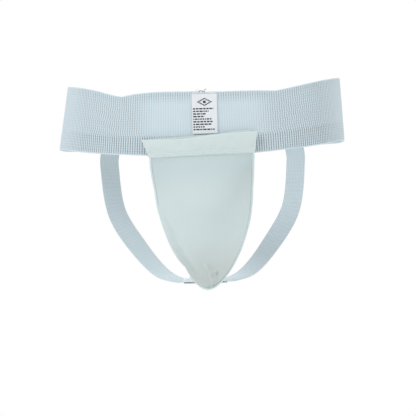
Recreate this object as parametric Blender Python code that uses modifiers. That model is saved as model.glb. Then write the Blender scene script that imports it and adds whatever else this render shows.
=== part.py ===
"""Groin protector: wide elastic waistband, cup pocket (pouch), hard cup and two leg straps.

Worn shape, in metres. +Z is up and -Y is the wearer's front. The origin is the middle of the
waist opening, level with the waistband's mid-height at the centre front. The pouch is drawn on
a sheet: x across it, s down it from the top of the mouth, n out of its front.
"""

from math import acos, atan2, copysign, cos, pi, radians, sin

import bpy
from mathutils import Vector

# Waistband: a woven elastic strip round the hips.
band_height = 0.075
band_thickness = 0.0022
hip_half_width = 0.1665
hip_half_depth = 0.110
hip_squareness = 2.3
band_flare = 0.0035          # how far each side leans out from mid-height to the lower edge
side_rise = 0.012            # how much higher the band sits at the sides and back
band_segments = 72

# Cloth, clearances and thread.
cloth = 0.0008
gap = 0.0003
slack = 0.0001               # added where a curved piece lies over another
fold_slack = 0.00025         # extra room inside a folded tape
layer_slack = 0.00005        # extra room between the pouch's two layers
thread_radius = 0.00035
zigzag_width = 0.005

# Pouch sheet.
mouth_drop = 0.0135          # from the band's mid-height down to the mouth
upright_length = 0.025       # the sheet hangs straight down in front of the band this far
lean = radians(17)           # then it leans back towards the crotch
lean_radius = 0.040
pouch_length = 0.187
tip_fullness = 2.5
tip_power = 0.57
binding_width = 0.006
seam_allowance = 0.0035      # how far the cloth edges stop inside the folded binding
bulge_depth = 0.043
bulge_below_hem = 0.0015     # the bulge starts this far under the hem
bulge_margin = 0.001         # flat cloth between the binding and the bulge
mouth_stand_off = 0.002

# Hem round the mouth.
hem_height = 0.022
hem_flare = 0.006
hem_back_height = 0.012
hem_lift = 0.002
hem_stitch_spacing = 0.003
hem_stitch_edge = 0.0015     # from the hem's lower edge up to the lower row
binding_below_hem = 0.008    # the side bindings start this far under the hem
lining_lift = 0.0015         # how far the lining stands above the mouth
lining_seam_drop = 0.008     # from the mouth down to the lining's seam

# Hard cup and its soft rim.
cup_top = 0.035
cup_upper = 0.046            # from its widest line up to its top edge
cup_half_width = 0.042
cup_upper_fullness = 2.6
cup_lower_fullness = 1.7
cup_wall = 0.0022
cup_dome = 0.033
cup_flange_share = 0.86      # the dome springs from this share of the outline
cup_lip_share = 1.02         # the flange's lip stands out this far past the outline
gasket_width = 0.006
gasket_thickness = 0.003
gasket_clearance = 0.0012    # from the lining sheet to the gasket's back
gasket_overhang = 0.001      # how far the gasket stands out past the outline
vent_radius = 0.0035
vent_spacing = 0.016
vent_cutter_length = 0.06

# What makes the cup and its pouch fit each other.
cup_tip_clearance = 0.026    # from the cup's bottom edge down to the pouch's tip
cup_side_clearance = 0.020   # from the cup's widest point out to the pouch's edge
bulge_above_widest = 0.003   # the bulge is highest this far above the cup's widest line
cup_lower = pouch_length - cup_top - cup_upper - cup_tip_clearance
pouch_half_width = cup_half_width + cup_side_clearance
bulge_middle = cup_top + cup_upper - bulge_above_widest

# Label.
label_width = 0.031
label_length = 0.0462
label_thickness = 0.0005
label_shift = 0.005
label_bar_height = 0.002
label_from_top = 0.0028
label_fold = 0.0005          # the leaf turns about a line this far in front of it

# Leg straps and the tab that joins them under the pouch.
strap_width = 0.025
strap_thickness = 0.0018
strap_side_gap = 0.0007      # each strap's inner edge, out from the middle of the tab
strap_tab_slack = 0.0006     # how loosely the straps lie under the tab
strap_lead = 0.004           # how far each strap's middle line runs along under the tab first
strap_straight = 0.022       # how far each strap hangs straight below the band
strap_hip_angle = radians(50)
strap_overlap = 0.018        # how far each strap runs up inside the band
strap_band_clearance = 0.0012
tab_width = 0.036
tab_side_margin = 0.0003     # how far the tab's tail stands out past both straps
tab_thickness = 0.0016
tab_above_tip = 0.041        # from the pouch's tip up to the tab's top edge
tab_flat_length = 0.024
tab_bend_radius = 0.010
tab_end_lean = radians(95)
tab_tail_length = 0.026
strap_start = strap_side_gap + strap_width / 2
tab_tail_width = 2 * (strap_start + strap_width / 2 + tab_side_margin)
tab_top = pouch_length - tab_above_tip

# Tacks: the short zigzags at the ends, and how far in from an edge each stops.
corner_tack_length = 0.011
corner_tack_width = 0.003
corner_tack_inset = 0.004
rear_tack_inset = 0.0025
rear_tack_height = 0.009
rear_tack_reach = 0.14       # from the middle of the waist out to these tacks
front_tack_length = 0.008
front_tack_height = 0.008
tab_tack_height = 0.006
lining_seam_inset = 0.003

OBJECT_NAME = "groin_protector"


# ---------------------------------------------------------------- scene and materials

def clear_scene():
    for old in list(bpy.data.objects):
        bpy.data.objects.remove(old, do_unlink=True)


def new_collection(name):
    collection = bpy.data.collections.new(name)
    bpy.context.scene.collection.children.link(collection)
    return collection


def finish_material(name, colour, roughness):
    material = bpy.data.materials.new(name)
    material.use_nodes = True
    shader = material.node_tree.nodes["Principled BSDF"]
    shader.inputs["Base Color"].default_value = (*colour, 1.0)
    shader.inputs["Roughness"].default_value = roughness
    shader.inputs["Metallic"].default_value = 0.0
    return material


def keep(piece, name, material, collection):
    """Name a new object, give it its material and move it to its collection."""
    piece.name = name
    piece.data.name = name
    piece.data.materials.clear()
    piece.data.materials.append(material)
    for old in list(piece.users_collection):
        old.objects.unlink(piece)
    collection.objects.link(piece)
    return piece


# ---------------------------------------------------------------- shapes that others follow

def signed_power(value, power):
    return copysign(abs(value) ** power, value)


def hip_outline(angle, half_width, outward=0.0):
    """A point of the hip outline at an angle from +X, moved outward by a distance."""
    power = 2 / hip_squareness

    def on_outline(at):
        return Vector((half_width * signed_power(cos(at), power),
                       hip_half_depth * signed_power(sin(at), power)))

    step = 0.001
    along = on_outline(angle + step) - on_outline(angle - step)
    normal = Vector((along.y, -along.x)).normalized()
    return on_outline(angle) + normal * outward, normal


def band_rise(x, y):
    """The band dips at the front and stays level from the sides round the back."""
    if y > 0:
        return side_rise
    return side_rise * min(abs(x) / hip_half_width, 1.0) ** 3


def band_point(angle, height, outward=0.0):
    """A point of the band; height runs from its mid-height, outward from its middle layer."""
    half_width = hip_half_width - band_flare * height / (band_height / 2)
    flat, normal = hip_outline(angle, half_width, outward)
    rise = band_rise(flat.x, flat.y)
    return Vector((flat.x, flat.y, height + rise)), normal


def hip_drop(x):
    """How far the front of the hips curves back at x from the middle."""
    share = 1 - min(abs(x) / hip_half_width, 1.0) ** hip_squareness
    return hip_half_depth * (1 - share ** (1 / hip_squareness))


# The binding's back leaf is the layer next to the band, and the sheet lies in front of it.
binding_leaf = gap + cloth + 0.5 * gap + 0.5 * cloth + fold_slack
sheet_y = -(hip_half_depth + band_thickness / 2 + gap + binding_leaf + cloth / 2)
sheet_z = -mouth_drop
arc_length = lean_radius * lean
lean_start = upright_length + arc_length
lean_y = sheet_y + lean_radius * (1 - cos(lean))
lean_z = sheet_z - upright_length - lean_radius * sin(lean)


def sheet_line(s):
    """The middle of the pouch sheet at s: y, z and its lean there."""
    if s < upright_length:
        return sheet_y, sheet_z - s, 0.0
    if s < lean_start:
        turn = (s - upright_length) / lean_radius
        return (sheet_y + lean_radius * (1 - cos(turn)),
                sheet_z - upright_length - lean_radius * sin(turn), turn)
    run = s - lean_start
    return lean_y + run * sin(lean), lean_z - run * cos(lean), lean


def sheet_point(x, s, n):
    """A point of the pouch, which curves with the hips."""
    y, z, turn = sheet_line(s)
    out = n - hip_drop(x)
    return Vector((x, y - out * cos(turn), z - out * sin(turn)))


def cup_point(x, s, n):
    """A point of the cup, whose rim is flat and lies along the leaning part of the sheet."""
    run = s - lean_start
    return Vector((x, lean_y + run * sin(lean) - n * cos(lean),
                   lean_z - run * cos(lean) - n * sin(lean)))


def pouch_edge(turn, inward=0.0):
    """The pouch's right edge from the mouth (turn 0) to the tip (turn 90 degrees)."""
    def on_edge(at):
        wide = max(cos(at), 0.0)
        down = max(sin(at), 0.0)
        return Vector((pouch_half_width * wide ** (2 * tip_power),
                       pouch_length * down ** (2 / tip_fullness)))

    step = 0.002
    along = on_edge(min(turn + step, pi / 2)) - on_edge(max(turn - step, 0.0))
    inside = Vector((-along.y, along.x)).normalized()
    return on_edge(turn) + inside * inward


def edge_turn(s, inward=0.0):
    """The turn at which the pouch's edge, moved inward, passes s."""
    low, high = 0.0, pi / 2
    for _ in range(30):
        middle = (low + high) / 2
        if pouch_edge(middle, inward).y < s:
            low = middle
        else:
            high = middle
    return low


def half_width_at(s, inward):
    """Half the pouch's width at s, measured inside its edge."""
    return max(pouch_edge(edge_turn(s, inward), inward).x, 0.0001)


def smooth_step(value):
    value = min(max(value, 0.0), 1.0)
    return value * value * (3 - 2 * value)


layer = (cloth + gap) / 2 + layer_slack      # middle of each cloth layer from the sheet
binding_start = hem_height + binding_below_hem


def panel_height(x, s):
    """How far the front panel stands off the sheet, at its middle layer."""
    below_hem = smooth_step((s - hem_height) / (binding_start - hem_height))
    edge = layer + hem_lift * (1 - below_hem)
    mouth = mouth_stand_off * (1 - below_hem) * (1 - (x / pouch_half_width) ** 2)
    if s < bulge_middle:
        bulge_start = hem_height + bulge_below_hem
        share = max((s - bulge_start) / (bulge_middle - bulge_start), 0.0)
        rise = sin(pi / 2 * share) ** 0.9
    else:
        bulge_end = pouch_length - binding_width - bulge_margin
        share = min((s - bulge_middle) / (bulge_end - bulge_middle), 1.0)
        rise = max(cos(pi / 2 * share), 0.0) ** 0.8
    dome_half = half_width_at(s, binding_width + bulge_margin)
    across = max(1 - min(abs(x) / dome_half, 1.0) ** 2.2, 0.0) ** 0.7
    return edge + max(mouth, 0.0) + bulge_depth * rise * across


# ---------------------------------------------------------------- ways of making a piece

def sheet_piece(name, columns, rows, place, thickness, material):
    """A cloth piece: a grid laid on a surface, then given its thickness.

    place takes u and v, each from -1 to 1, and returns the point on the middle layer.
    """
    bpy.ops.mesh.primitive_grid_add(x_subdivisions=columns, y_subdivisions=rows, size=2)
    piece = bpy.context.object
    for vertex in piece.data.vertices:
        vertex.co = place(vertex.co.x, vertex.co.y)
    wall = piece.modifiers.new("thickness", "SOLIDIFY")
    wall.thickness = thickness
    wall.offset = 0.0
    piece.data.shade_smooth()
    return keep(piece, name, material, parts)


def thread_piece(name, points, material, radius=thread_radius):
    """A row of stitching: one round thread along its points."""
    curve = bpy.data.curves.new(name, "CURVE")
    curve.dimensions = "3D"
    curve.bevel_depth = radius
    curve.bevel_resolution = 1
    curve.use_fill_caps = True
    spline = curve.splines.new("POLY")
    spline.points.add(len(points) - 1)
    for spot, point in zip(spline.points, points):
        spot.co = (*point, 1.0)
    piece = bpy.data.objects.new(name, curve)
    bpy.context.scene.collection.objects.link(piece)
    return keep(piece, name, material, parts)


def zigzag(place, length, waves, width=zigzag_width):
    """Points of a zigzag with rounded corners; place turns (along, across) into a point."""
    steps = waves * 6
    return [place(length * (i / steps - 0.5), width / 2 * sin(2 * pi * i / 6))
            for i in range(steps + 1)]


def smooth_route(points, per_span):
    """Points on a smooth curve that passes through every given point."""
    route = []
    ends = [points[0] * 2 - points[1], *points, points[-1] * 2 - points[-2]]
    for i in range(1, len(ends) - 2):
        a, b, c, d = ends[i - 1:i + 3]
        for k in range(per_span):
            t = k / per_span
            route.append(0.5 * (2 * b + (c - a) * t + (2 * a - 5 * b + 4 * c - d) * t ** 2
                                + (3 * b - a - 3 * c + d) * t ** 3))
    route.append(points[-1])
    return route


def hang_from(piece, axis):
    """Parent a moving piece to the empty on its joint's axis, where it stays in place."""
    piece.parent = axis
    piece.matrix_parent_inverse = axis.matrix_world.inverted()


def joint_empty(name, location):
    empty = bpy.data.objects.new(name, None)
    empty.empty_display_size = 0.02
    empty.location = location
    parts.objects.link(empty)
    bpy.context.view_layer.update()
    return empty


# ---------------------------------------------------------------- waistband

def make_waistband():
    bpy.ops.mesh.primitive_cylinder_add(vertices=band_segments, radius=1, depth=2,
                                        end_fill_type="NOTHING")
    piece = bpy.context.object
    for vertex in piece.data.vertices:
        angle = atan2(vertex.co.y, vertex.co.x)
        vertex.co, _ = band_point(angle, copysign(band_height / 2, vertex.co.z))
    wall = piece.modifiers.new("thickness", "SOLIDIFY")
    wall.thickness = band_thickness
    wall.offset = 0.0
    piece.data.shade_smooth()
    return keep(piece, "waistband", elastic, parts)


def make_band_join():
    """The zigzag that sews the elastic's two ends together at the centre back."""
    proud = band_thickness / 2 + gap + thread_radius

    def place(along, across):
        return band_point(pi / 2 + across / hip_half_width, along, proud)[0]

    thread_piece("waistband_join_stitching", zigzag(place, band_height * 0.88, 6), white_thread)


# ---------------------------------------------------------------- label

label_y = -(hip_half_depth + band_thickness / 2 + gap + label_thickness / 2 + slack)
label_top = band_height / 2 - label_from_top


def make_label():
    def place(u, v):
        x = label_shift + u * label_width / 2
        return Vector((x, label_y, label_top - (1 - v) / 2 * label_length))

    piece = sheet_piece("label", 4, 6, place, label_thickness, satin)
    hinge = (label_shift, label_y - label_fold, label_top)
    hang_from(piece, joint_empty("label_flip_axis", hinge))


def make_label_bar():
    """The dense bar of stitches that holds the label's top edge."""
    bar_z = label_top + gap + label_bar_height / 2

    def place(u, v):
        x = label_shift + u * label_width / 2
        return Vector((x, label_y - slack, bar_z + v * label_bar_height / 2))

    sheet_piece("label_stitch_bar", 4, 1, place, label_thickness, white_thread)


# ---------------------------------------------------------------- pouch

mouth_rows = 4               # down to the hem's lower edge, then to the binding's top
edge_rows = 20
pouch_rows = mouth_rows + edge_rows
tip_turn = pi / 2 - 0.035


def pouch_row_turn(row):
    """The turn of a row of the pouch's cloth, shared so that its layers fold alike."""
    if row < mouth_rows:
        return edge_turn(hem_height * row / (mouth_rows - 1))
    first = edge_turn(binding_start)
    return first + (tip_turn - first) * (row - mouth_rows) / edge_rows


def make_pouch_panels():
    def edge_at(v):
        """Half width and s of a cloth row: v is -1 at the tip and 1 at the top edge."""
        row = round((1 - v) / 2 * pouch_rows)
        return pouch_edge(pouch_row_turn(row), seam_allowance)

    front_columns = 18
    outer_column = 1 - 2 / front_columns

    def front(u, v):
        """The outermost column on each side is the flat seam allowance in the binding."""
        edge = edge_at(v)
        s = max(edge.y, 0.0) + (cloth + gap) * (1 + v) / 2
        bulge_half = max(half_width_at(s, binding_width + bulge_margin), edge.x / 2)
        if abs(u) <= outer_column + 0.001:
            x = u / outer_column * bulge_half
        else:
            x = copysign(edge.x, u)
        return sheet_point(x, s, panel_height(x, s))

    def back(u, v):
        edge = edge_at(v)
        top_lift = lining_lift * (1 + v) / 2
        return sheet_point(u * edge.x, max(edge.y, 0.0) - top_lift, -layer)

    sheet_piece("pouch_front_panel", front_columns, pouch_rows, front, cloth, pouch_knit)
    sheet_piece("pouch_lining", 12, pouch_rows, back, cloth, lining_knit)


def fold_profile(turn_share):
    """A folded tape seen end on: how far in from the fold, and which side it is on."""
    inward_steps = [1.0, 0.35, 0.0, 0.35, 1.0]
    side_steps = [1.0, 1.0, 0.0, -1.0, -1.0]
    i = round((turn_share + 1) / 2 * (len(inward_steps) - 1))
    return inward_steps[i], side_steps[i]


def make_bindings():
    """A tape folded over both cloth edges, down each side of the pouch."""
    first_turn = pouch_row_turn(mouth_rows)

    for side, sign in (("left", 1), ("right", -1)):
        def place(u, v):
            inward, face = fold_profile(u)
            turn = pouch_row_turn(mouth_rows + round((1 - v) / 2 * edge_rows))
            edge = pouch_edge(turn, cloth / 2 + inward * (binding_width - cloth / 2))
            return sheet_point(sign * edge.x, edge.y, face * binding_leaf)

        sheet_piece("pouch_binding_" + side, 4, edge_rows, place, cloth, binding_tape)

        steps = 40
        proud = binding_leaf + cloth / 2 + gap + thread_radius
        row = []
        for i in range(steps + 1):
            turn = first_turn + (tip_turn - 0.03 - first_turn) * i / steps
            edge = pouch_edge(turn, binding_width * 0.6)
            row.append(sheet_point(sign * edge.x, edge.y, proud))
        thread_piece("binding_stitch_" + side, row, white_thread)


def hem_half_width(s):
    return pouch_half_width + hem_flare * (1 - s / hem_height)


def hem_surface(x, s):
    """The front panel's middle layer inside the hem."""
    return panel_height(min(abs(x), pouch_half_width - seam_allowance), s)


def make_hem():
    """Cloth folded over the front panel's top edge: it is the pocket's mouth."""
    leaf = cloth + gap
    front_rows = [1.0, 0.66, 0.33, 0.05]
    back_rows = [0.05, 0.5, 1.0]
    profile = [(share * hem_height, 1) for share in front_rows]
    profile.append((0.0, 0))
    profile += [(share * hem_back_height, -1) for share in back_rows]
    rows = len(profile) - 1

    def place(u, v):
        s, face = profile[round((v + 1) / 2 * rows)]
        x = u * hem_half_width(s)
        return sheet_point(x, s, hem_surface(x, s) + face * leaf)

    sheet_piece("pouch_top_hem", 20, rows, place, cloth, hem_cloth)

    proud = leaf + cloth / 2 + gap + thread_radius + slack
    steps = 28
    for name, s in (("hem_stitch_lower", hem_height - hem_stitch_edge),
                    ("hem_stitch_upper", hem_height - hem_stitch_edge - hem_stitch_spacing)):
        half = hem_half_width(s) - 0.002
        row = []
        for i in range(steps + 1):
            x = half * (2 * i / steps - 1)
            row.append(sheet_point(x, s, hem_surface(x, s) + proud))
        thread_piece(name, row, white_thread)

    for side, sign in (("left", 1), ("right", -1)):
        def place(along, across):
            s = hem_height * 0.4 + along
            x = sign * (hem_half_width(s) - corner_tack_inset) + across
            return sheet_point(x, s, hem_surface(x, s) + proud)

        row = zigzag(place, corner_tack_length, 3, corner_tack_width)
        thread_piece("hem_corner_tack_" + side, row, white_thread)


def make_lining_seam():
    """The row that sews the lining to the waistband, inside the pocket's mouth."""
    steps = 28
    proud = -layer + cloth / 2 + gap + thread_radius
    half = pouch_half_width - seam_allowance - lining_seam_inset
    row = [sheet_point(half * (2 * i / steps - 1), lining_seam_drop, proud)
           for i in range(steps + 1)]
    thread_piece("lining_seam_stitching", row, white_thread)


# ---------------------------------------------------------------- cup

def cup_outline(angle):
    """The cup's rim at an angle from +X: upper and lower halves differ."""
    upper_power = 2 / cup_upper_fullness
    lower_power = 2 / cup_lower_fullness
    if sin(angle) >= 0:
        return Vector((cup_half_width * signed_power(cos(angle), upper_power),
                       -cup_upper * sin(angle) ** upper_power))
    return Vector((cup_half_width * signed_power(cos(angle), lower_power),
                   cup_lower * (-sin(angle)) ** lower_power))


cup_widest = cup_top + cup_upper
cup_rim_height = gasket_clearance + gasket_thickness + gap + cup_wall / 2


def cup_surface(share, angle):
    """A point of the cup's middle layer: share is 0 at its crest and 1 at its rim."""
    rim = cup_outline(angle) * share
    inside = min(share / cup_flange_share, 1.0)
    height = cup_rim_height + cup_dome * (1 - inside ** 2) ** 0.75
    return cup_point(rim.x, cup_widest + rim.y, height)


def make_cup(axis):
    segments = 36
    rings = 16
    bpy.ops.mesh.primitive_uv_sphere_add(segments=segments, ring_count=rings)
    piece = bpy.context.object
    bpy.ops.object.mode_set(mode="EDIT")
    bpy.ops.mesh.select_all(action="SELECT")
    bpy.ops.mesh.bisect(plane_co=(0, 0, -0.01), plane_no=(0, 0, 1), clear_inner=True)
    bpy.ops.mesh.select_all(action="DESELECT")
    bpy.ops.object.mode_set(mode="OBJECT")
    dome_rings = rings / 2 - 2
    for vertex in piece.data.vertices:
        ring = min(acos(min(max(vertex.co.z, 0.0), 1.0)) / (pi / rings), rings / 2)
        if ring <= dome_rings:
            share = cup_flange_share * sin(pi / 2 * ring / dome_rings)
        else:
            share = cup_flange_share + (1 - cup_flange_share) * (ring - dome_rings) / 2
        if vertex.co.z < -0.005:
            share = cup_lip_share
        angle = atan2(vertex.co.y, vertex.co.x)
        vertex.co = cup_surface(share, angle)
    wall = piece.modifiers.new("wall", "SOLIDIFY")
    wall.thickness = cup_wall
    wall.offset = 0.0
    for i, (column, row) in enumerate(((0, -1.6), (0, -0.5), (0, 0.6), (-1, -1.0), (1, -1.0),
                                       (-1, 0.1), (1, 0.1))):
        bpy.ops.mesh.primitive_cylinder_add(vertices=12, radius=vent_radius,
                                            depth=vent_cutter_length)
        cutter = bpy.context.object
        s = cup_widest + row * vent_spacing
        cutter.location = cup_point(column * vent_spacing, s, cup_rim_height + cup_dome * 0.8)
        cutter.rotation_euler = (pi / 2 + lean, 0, 0)
        cutter.hide_render = True
        cutter.display_type = "WIRE"
        keep(cutter, f"vent_cutter_{i}", cup_plastic, cutters)
    holes = piece.modifiers.new("vents", "BOOLEAN")
    holes.operation = "DIFFERENCE"
    holes.operand_type = "COLLECTION"
    holes.collection = cutters
    holes.solver = "EXACT"
    keep(piece, "cup_shell", cup_plastic, parts)
    hang_from(piece, axis)


def make_gasket(axis):
    """The soft rim under the cup's flange."""
    ring = 0.25              # the plain torus's thickness, rescaled to the gasket's
    bpy.ops.mesh.primitive_torus_add(major_segments=40, minor_segments=8,
                                     major_radius=1.0, minor_radius=ring)
    piece = bpy.context.object
    for vertex in piece.data.vertices:
        angle = atan2(vertex.co.y, vertex.co.x)
        reach = Vector((vertex.co.x, vertex.co.y)).length - 1.0
        across = reach / ring
        up = vertex.co.z / ring
        rim = cup_outline(angle)
        out = rim.normalized()
        middle = rim - out * (gasket_width / 2 - gasket_overhang)
        spot = middle + out * (across * gasket_width / 2)
        height = gasket_clearance + gasket_thickness / 2 * (1 + up)
        vertex.co = cup_point(spot.x, cup_widest + spot.y, height)
    piece.data.shade_smooth()
    keep(piece, "cup_gasket", soft_rubber, parts)
    hang_from(piece, axis)


# ---------------------------------------------------------------- crotch tab and leg straps

def tab_line(run, out):
    """The tab's path from behind the pouch to under the crotch; out is towards the front."""
    behind = binding_leaf + cloth / 2 + gap + tab_thickness / 2 + 2 * slack
    start = cup_point(0, tab_top, -behind)
    spot = Vector((0, start.y, start.z))
    turn = lean
    flat = min(run, tab_flat_length)
    spot += Vector((0, sin(lean), -cos(lean))) * flat
    bend_length = tab_bend_radius * (tab_end_lean - lean)
    bend = min(max(run - tab_flat_length, 0.0), bend_length)
    turn += bend / tab_bend_radius
    spot += Vector((0, cos(lean) - cos(turn), sin(lean) - sin(turn))) * tab_bend_radius
    tail = max(run - tab_flat_length - bend_length, 0.0)
    spot += Vector((0, sin(turn), -cos(turn))) * tail
    return spot + Vector((0, -cos(turn), -sin(turn))) * out


tab_length = tab_flat_length + tab_bend_radius * (tab_end_lean - lean) + tab_tail_length


def make_crotch_tab():
    def place(u, v):
        run = (1 - v) / 2 * tab_length
        tail_share = smooth_step((run - tab_flat_length) / (tab_bend_radius * tab_end_lean))
        x = u * (tab_width + (tab_tail_width - tab_width) * tail_share) / 2
        spot = tab_line(run, 0.0)
        back = hip_drop(x)
        return Vector((x, spot.y + back * cos(lean), spot.z + back * sin(lean)))

    sheet_piece("crotch_tab", 4, 22, place, tab_thickness, tab_webbing)


def strap_route():
    """The right strap's centre line: from under the tab, round the thigh, up into the band."""
    under = tab_thickness / 2 + gap + strap_thickness / 2 + strap_tab_slack
    start = tab_line(tab_length - tab_tail_length + strap_lead, under)
    tail = tab_line(tab_length, under)
    inside = -(band_thickness / 2 + gap + strap_thickness / 2 + strap_band_clearance)
    low = -band_height / 2
    below, _ = band_point(strap_hip_angle, low - strap_straight, inside)
    entry, _ = band_point(strap_hip_angle, low, inside)
    top, _ = band_point(strap_hip_angle, low + strap_overlap, inside)
    points = [Vector((strap_start, start.y, start.z)),
              Vector((strap_start + 0.001, tail.y - 0.003, tail.z)),
              Vector((0.026, tail.y + 0.022, tail.z - 0.001)),
              Vector((0.052, tail.y + 0.060, tail.z + 0.008)),
              Vector((0.080, tail.y + 0.092, tail.z + 0.038)),
              Vector((below.x - 0.008, below.y - 0.010, (below.z * 1.5 + tail.z) / 2.5)),
              below, entry, top]
    return smooth_route(points, 4)


def make_leg_straps():
    route = strap_route()
    spans = len(route) - 1
    _, hip_normal = hip_outline(strap_hip_angle, hip_half_width)
    outward_end = Vector((hip_normal.x, hip_normal.y, 0))

    def strap_frame(i):
        along = (route[min(i + 1, spans)] - route[max(i - 1, 0)]).normalized()
        share = smooth_step((i / spans - 0.12) / 0.5)
        outward = Vector((0, 0, -1)).lerp(outward_end, share)
        across = along.cross(outward).normalized()
        return along, across, across.cross(along)

    for side, sign in (("left", 1), ("right", -1)):
        def place(u, v):
            i = round((v + 1) / 2 * spans)
            _, across, _ = strap_frame(i)
            spot = route[i] + across * (u * strap_width / 2)
            return Vector((sign * spot.x, spot.y, spot.z))

        sheet_piece("leg_strap_" + side, 2, spans, place, strap_thickness, strap_elastic)

        def tack(along, across):
            proud = band_thickness / 2 + gap + thread_radius
            height = -band_height / 2 + strap_overlap * 0.5 + across
            spot, _ = band_point(strap_hip_angle + along / rear_tack_reach, height, proud)
            return Vector((sign * spot.x, spot.y, spot.z))

        row = zigzag(tack, strap_width - 2 * rear_tack_inset, 4, rear_tack_height)
        thread_piece("strap_rear_tack_" + side, row, white_thread)

        def front_tack(along, across):
            spot = tab_line(tab_length - tab_tail_length * 0.5 + across,
                            -(tab_thickness / 2 + gap + thread_radius))
            x = strap_start + along
            back = hip_drop(x)
            return Vector((sign * x, spot.y + back * cos(lean),
                           spot.z + back * sin(lean) + slack))

        row = zigzag(front_tack, front_tack_length, 2, front_tack_height)
        thread_piece("strap_front_tack_" + side, row, white_thread)


def make_tab_tack():
    """The row that sews the tab to the back of the pouch."""
    proud = -(tab_thickness / 2 + gap + thread_radius)

    def place(along, across):
        spot = tab_line(tab_flat_length * 0.4 + across, proud)
        back = hip_drop(along)
        return Vector((along, spot.y + back * cos(lean), spot.z + back * sin(lean)))

    row = zigzag(place, tab_width * 0.8, 6, tab_tack_height)
    thread_piece("crotch_tab_stitching", row, white_thread)


# ---------------------------------------------------------------- the object

clear_scene()
parts = new_collection(OBJECT_NAME)
cutters = new_collection("cutters")

elastic = finish_material("ribbed_elastic", (0.78, 0.83, 0.85), 0.85)
pouch_knit = finish_material("pouch_knit", (0.80, 0.84, 0.84), 0.9)
lining_knit = finish_material("lining_knit", (0.82, 0.85, 0.85), 0.9)
hem_cloth = finish_material("hem_cloth", (0.83, 0.86, 0.84), 0.9)
binding_tape = finish_material("binding_tape", (0.86, 0.89, 0.90), 0.8)
white_thread = finish_material("white_thread", (0.88, 0.89, 0.88), 0.7)
satin = finish_material("label_satin", (0.90, 0.92, 0.94), 0.45)
strap_elastic = finish_material("strap_elastic", (0.80, 0.84, 0.86), 0.85)
tab_webbing = finish_material("tab_webbing", (0.80, 0.83, 0.84), 0.85)
cup_plastic = finish_material("cup_plastic", (0.86, 0.88, 0.88), 0.35)
soft_rubber = finish_material("soft_rim", (0.70, 0.72, 0.73), 0.7)

make_waistband()
make_band_join()
make_label()
make_label_bar()
make_pouch_panels()
make_bindings()
make_hem()
make_lining_seam()
cup_axis = joint_empty("cup_lift_axis", cup_point(0, cup_widest, 0))
make_cup(cup_axis)
make_gasket(cup_axis)
make_crotch_tab()
make_leg_straps()
make_tab_tack()
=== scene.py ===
# %% [markdown]
# # A groin protector in cloth, elastic and plastic
# A groin protector is a cup pocket sewn on a wide elastic waistband, with two leg straps that
# hold the pocket's tip down. This lesson dresses the plain working model: every soft solid is
# replaced by a detailed cloth piece of nearly the same size, in the same place. The hard cup
# and the rubber under its rim are dressed too.

# %% Load the frame
import random
from functools import lru_cache
from math import acos, atan2, copysign, cos, exp, pi, radians, sin

import bpy
import numpy as np
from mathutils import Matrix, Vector


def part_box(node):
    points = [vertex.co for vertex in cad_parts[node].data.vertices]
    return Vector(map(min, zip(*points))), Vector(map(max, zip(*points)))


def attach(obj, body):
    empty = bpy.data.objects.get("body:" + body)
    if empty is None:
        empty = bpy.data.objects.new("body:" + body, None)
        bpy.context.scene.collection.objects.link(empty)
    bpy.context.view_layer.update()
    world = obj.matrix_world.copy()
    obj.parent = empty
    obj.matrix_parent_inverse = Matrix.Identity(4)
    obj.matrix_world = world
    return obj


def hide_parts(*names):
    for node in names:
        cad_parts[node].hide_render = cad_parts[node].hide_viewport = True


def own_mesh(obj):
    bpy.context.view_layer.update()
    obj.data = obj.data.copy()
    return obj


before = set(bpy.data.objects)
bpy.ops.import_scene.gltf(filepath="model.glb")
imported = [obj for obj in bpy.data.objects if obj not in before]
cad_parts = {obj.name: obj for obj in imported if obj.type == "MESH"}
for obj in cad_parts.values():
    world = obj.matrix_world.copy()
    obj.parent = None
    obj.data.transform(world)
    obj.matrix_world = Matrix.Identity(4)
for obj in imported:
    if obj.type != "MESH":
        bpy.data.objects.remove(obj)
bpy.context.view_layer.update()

# %% [markdown]
# ## Measures
# A tailor works from a few measures: round the hips, the elastic's width, the pocket's length.
# They could be typed in again, but reading them from the frame keeps cloth and frame together.
# The allowances that the frame's boxes don't show are written here once.

# %% The measures
_, band_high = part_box("waistband")
band_thickness = 0.0022
band_height = 0.075
band_flare = 0.0035
hip_half_width = band_high.x - band_flare - band_thickness / 2
hip_half_depth = band_high.y - band_thickness / 2
hip_squareness = 2.3
side_rise = band_high.z - band_height / 2

cloth = 0.0008
gap = 0.0003
pouch_length = 0.187
pouch_half_width = 0.062
hem_height = 0.022
hem_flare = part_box("pouch_top_hem")[1].x - pouch_half_width
binding_width = 0.006
binding_front = 0.0026
seam_allowance = 0.0018
print("hips", round(hip_half_width * 2, 4), "wide", round(hip_half_depth * 2, 4), "deep")

# %% [markdown]
# ## The sheet that the pocket is drawn on
# Pattern makers draw flat and sew round. Here the pocket is drawn on a sheet too: x across it,
# s down it from the mouth, and n out of its front. The sheet hangs straight in front of the
# waistband, then leans back towards the crotch, and it curves with the hips. Modelling each
# layer freely would let the layers cross, so all of them share this one sheet.

# %% The sheet
lean = radians(17)
lean_radius = 0.040
upright_length = 0.025
binding_leaf = gap + cloth + 0.5 * gap + 0.5 * cloth + 0.00025
sheet_y = -(hip_half_depth + band_thickness / 2 + gap + binding_leaf + cloth / 2)
sheet_z = -0.0135
lean_start = upright_length + lean_radius * lean
lean_y = sheet_y + lean_radius * (1 - cos(lean))
lean_z = sheet_z - upright_length - lean_radius * sin(lean)
layer = (cloth + gap) / 2 + 0.00005
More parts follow.
